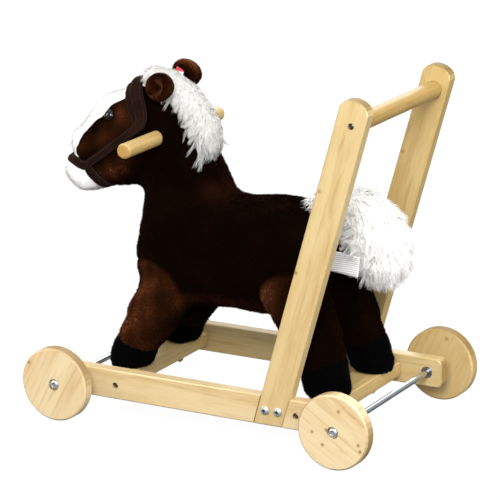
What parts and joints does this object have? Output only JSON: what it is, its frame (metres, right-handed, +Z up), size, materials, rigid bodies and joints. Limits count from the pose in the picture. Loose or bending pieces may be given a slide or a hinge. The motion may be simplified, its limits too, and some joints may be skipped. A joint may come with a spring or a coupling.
{
  "type": "push-along plush horse",
  "caption": "Plush horse standing on a pale wooden wheeled frame with a leaning push handle, free-spinning wheels and a grip dowel through the neck.",
  "frame": {"origin": "on the floor, under the middle of the whole object's box: centre plane, half way between muzzle and the back of the rear wheels", "axes": "+Z up; the horse looks along -Y and the push handle is at +Y; +X is the horse's left, along the axles"},
  "size_m": [0.332, 0.5429, 0.4728],
  "materials": {
    "timber": "planed pale pine, clear satin finish",
    "wheel_timber": "turned pale pine, clear satin finish",
    "inner_timber": "unfinished pine, hidden",
    "bright_steel": "bright zinc and chrome plate",
    "spacer_nylon": "moulded",
    "brown_plush": "short dark brown pile with a reddish nap",
    "black_plush": "short black pile",
    "white_plush": "long fluffy white pile",
    "brown_suede": "soft suede with raw edges",
    "eye_gloss": "polished black",
    "label_satin": "woven satin"
  },
  "bodies": {
    "frame": {"side_rail_left": "timber", "side_rail_right": "timber", "upright_left": "timber", "upright_right": "timber", "cross_board_front": "timber", "cross_board_rear": "timber", "handle_dowel": "timber", "grip_dowel": "timber", "spine_beam": "inner_timber", "neck_post": "inner_timber", "leg_post_front_left": "inner_timber", "leg_post_front_right": "inner_timber", "leg_post_rear_left": "inner_timber", "leg_post_rear_right": "inner_timber", "axle_front": "bright_steel", "axle_rear": "bright_steel", "axle_bush_front_left": "bright_steel", "axle_bush_front_right": "bright_steel", "axle_bush_rear_left": "bright_steel", "axle_bush_rear_right": "bright_steel", "wheel_bolt_front_left": "bright_steel", "wheel_bolt_front_right": "bright_steel", "wheel_bolt_rear_left": "bright_steel", "wheel_bolt_rear_right": "bright_steel", "board_bolt_front_left": "bright_steel", "board_bolt_front_right": "bright_steel", "board_bolt_rear_left": "bright_steel", "board_bolt_rear_right": "bright_steel", "lap_bolt_left_front": "bright_steel", "lap_bolt_left_rear": "bright_steel", "lap_bolt_right_front": "bright_steel", "lap_bolt_right_rear": "bright_steel", "handle_bolt_left": "bright_steel", "handle_bolt_right": "bright_steel", "hoof_bolt_front_left": "bright_steel", "hoof_bolt_front_right": "bright_steel", "hoof_bolt_rear_left": "bright_steel", "hoof_bolt_rear_right": "bright_steel", "wheel_spacer_front_left": "spacer_nylon", "wheel_spacer_front_right": "spacer_nylon", "wheel_spacer_rear_left": "spacer_nylon", "wheel_spacer_rear_right": "spacer_nylon", "plush_body": "brown_plush", "ear_left": "brown_plush", "ear_right": "brown_plush", "hoof_front_left": "black_plush", "hoof_front_right": "black_plush", "hoof_rear_left": "black_plush", "hoof_rear_right": "black_plush", "mane": "white_plush", "tail": "white_plush", "bridle": "brown_suede", "eye_left": "eye_gloss", "eye_right": "eye_gloss", "care_label": "label_satin"},
    "wheel_front_left": {"wheel_front_left": "wheel_timber"},
    "wheel_front_right": {"wheel_front_right": "wheel_timber"},
    "wheel_rear_left": {"wheel_rear_left": "wheel_timber"},
    "wheel_rear_right": {"wheel_rear_right": "wheel_timber"}
  },
  "joints": [
    {"name": "wheel_front_left_spin", "type": "hinge", "parent": "frame", "child": "wheel_front_left", "pos_m": [0.157, -0.1965, 0.05], "axis": [1, 0, 0], "continuous": true},
    {"name": "wheel_front_right_spin", "type": "hinge", "parent": "frame", "child": "wheel_front_right", "pos_m": [-0.157, -0.1965, 0.05], "axis": [1, 0, 0], "continuous": true},
    {"name": "wheel_rear_left_spin", "type": "hinge", "parent": "frame", "child": "wheel_rear_left", "pos_m": [0.157, 0.2215, 0.05], "axis": [1, 0, 0], "continuous": true},
    {"name": "wheel_rear_right_spin", "type": "hinge", "parent": "frame", "child": "wheel_rear_right", "pos_m": [-0.157, 0.2215, 0.05], "axis": [1, 0, 0], "continuous": true}
  ]
}
